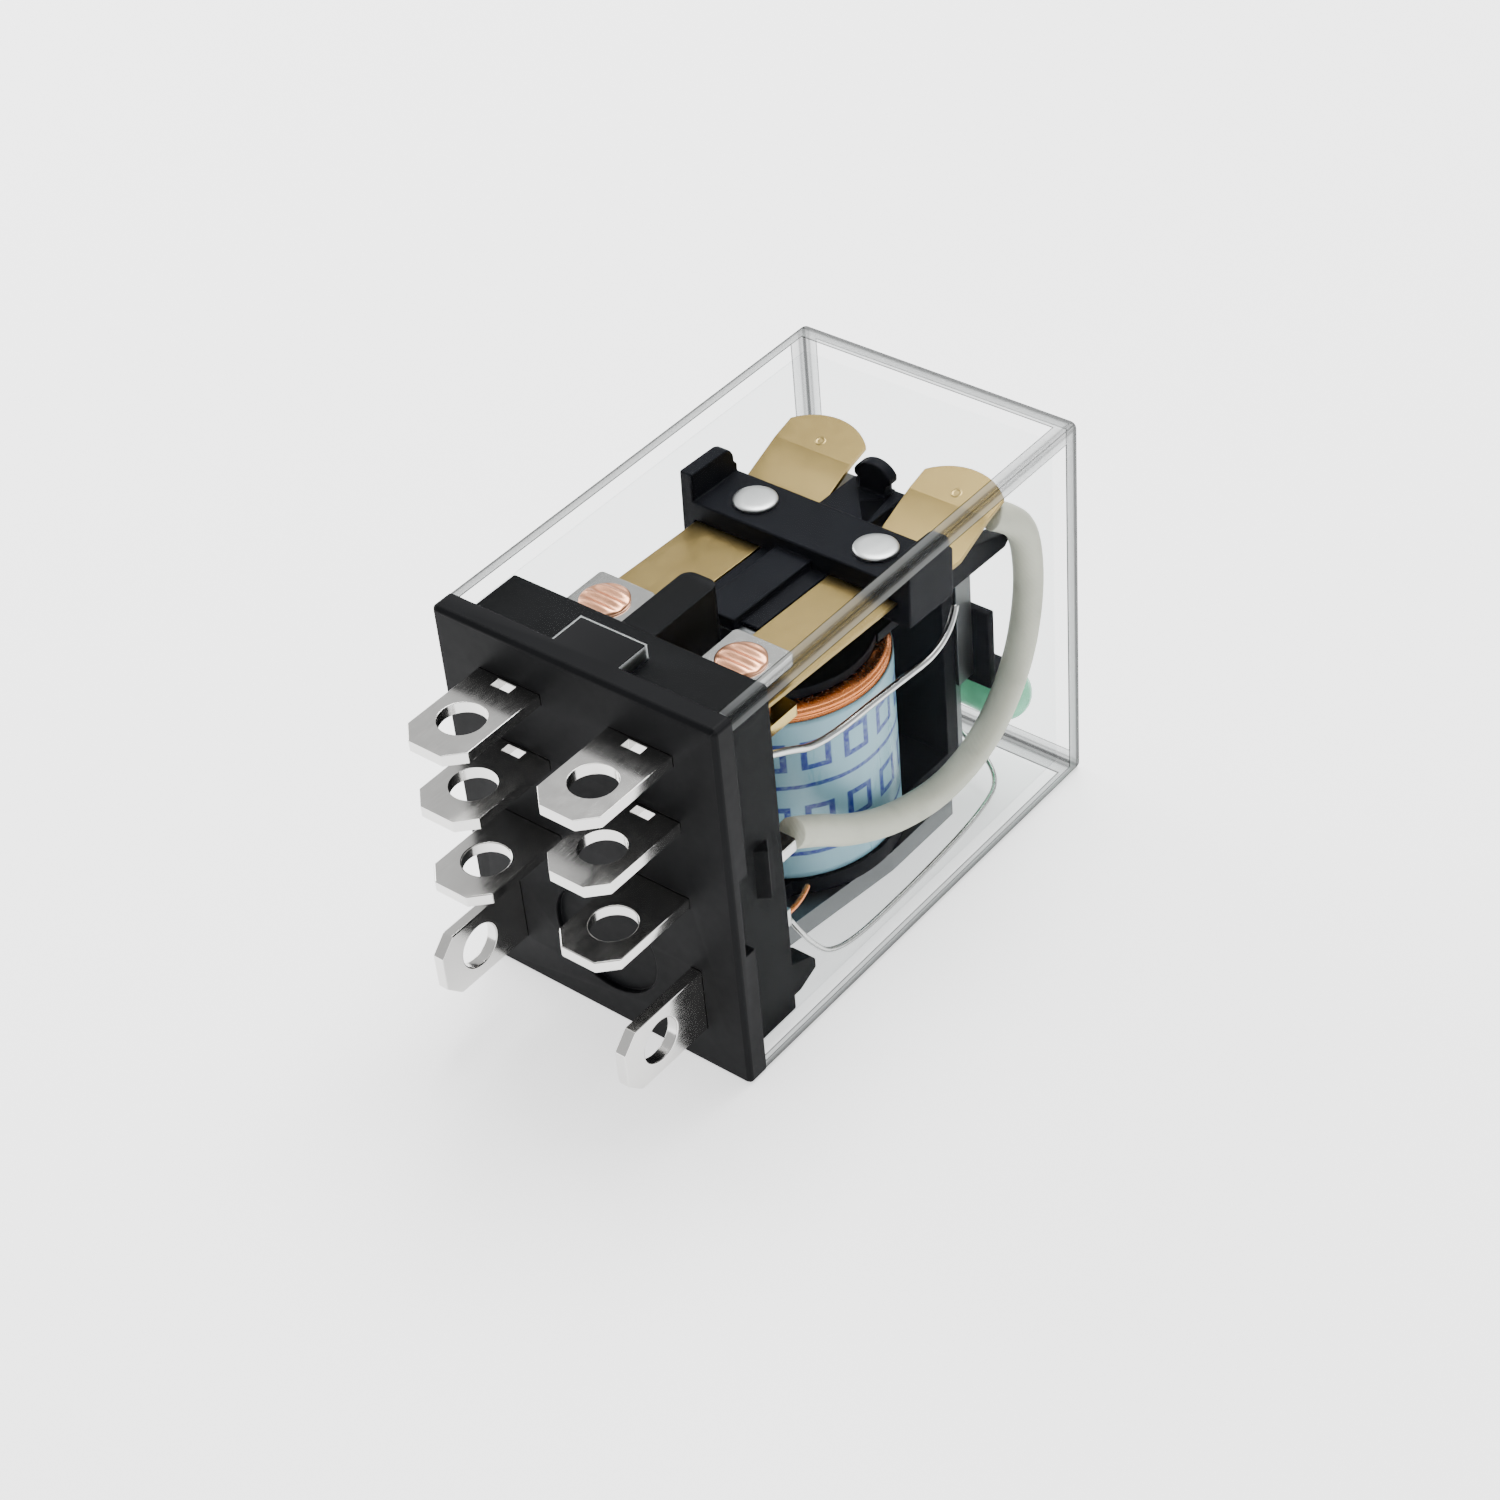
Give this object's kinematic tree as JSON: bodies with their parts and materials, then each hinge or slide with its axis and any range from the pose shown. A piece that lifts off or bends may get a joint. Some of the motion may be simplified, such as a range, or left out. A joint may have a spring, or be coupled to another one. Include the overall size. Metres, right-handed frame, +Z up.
{
  "type": "plug-in relay",
  "caption": "Plug-in relay with a clear cover, flat blade terminals, a coil and a hinged armature that works two changeover poles.",
  "frame": {"origin": "middle of the base's seating face, between the blades, where the relay meets its socket", "axes": "+Y from the seating face into the relay (the blades point along -Y), +X across its width, +Z up its height, towards the normally closed blades"},
  "size_m": [0.0216, 0.0433, 0.028],
  "materials": {
    "black_thermoplastic": "moulded, satin",
    "clear_cover": "clear moulded thermoplastic, polished",
    "tinned_brass": "bright tin plating over brass",
    "bare_brass": "stamped, bright",
    "spring_brass": "rolled, bright",
    "contact_rivet": "copper rivet with a headed tail",
    "contact_silver": "silver alloy",
    "nickelled_rivet": "nickel plated, bright",
    "zinc_plated_steel": "zinc plated, satin",
    "black_nylon": "moulded, satin",
    "enamelled_copper": "enamelled copper wire",
    "winding_tape": "pale blue film tape",
    "lead_sleeve": "grey-white insulating sleeve",
    "spring_steel": "drawn wire",
    "green_lens": "tinted, translucent",
    "tinned_wire": "tinned copper wire",
    "resistor_body": "lacquered, with colour bands"
  },
  "bodies": {
    "housing": {"base": "black_thermoplastic", "cover": "clear_cover", "yoke": "zinc_plated_steel", "core": "zinc_plated_steel", "bobbin": "black_nylon", "coil_winding": "enamelled_copper", "coil_tape": "winding_tape", "return_spring": "spring_steel", "led": "green_lens", "resistor": "resistor_body", "indicator_link": "tinned_wire", "lamp_clip": "black_nylon", "nc_terminal_left": "tinned_brass", "nc_terminal_right": "tinned_brass", "no_terminal_left": "bare_brass", "no_terminal_right": "bare_brass", "com_terminal_left": "tinned_brass", "com_terminal_right": "tinned_brass", "coil_terminal_left": "tinned_brass", "coil_terminal_right": "tinned_brass", "nc_contact_left": "contact_rivet", "nc_contact_right": "contact_rivet", "no_contact_left": "contact_rivet", "no_contact_right": "contact_rivet", "lead_left": "lead_sleeve", "lead_right": "lead_sleeve", "coil_wire_left": "enamelled_copper", "coil_wire_right": "enamelled_copper", "indicator_wire_left": "tinned_wire", "indicator_wire_right": "tinned_wire"},
    "armature_assembly": {"carrier": "black_nylon", "armature": "zinc_plated_steel", "contact_spring_left": "spring_brass", "contact_spring_right": "spring_brass", "moving_contact_left": "contact_silver", "moving_contact_right": "contact_silver", "spring_rivet_left": "nickelled_rivet", "spring_rivet_right": "nickelled_rivet"}
  },
  "joints": [
    {"name": "armature_hinge", "type": "hinge", "parent": "housing", "child": "armature_assembly", "pos_m": [0, 0.03, 0.00635], "axis": [1, 0, 0], "range_deg": [0, 2.4], "stiffness_Nm_per_rad": 0.05, "springref_deg": -5.73, "deforming": ["return_spring", "lead_left", "lead_right"]}
  ]
}
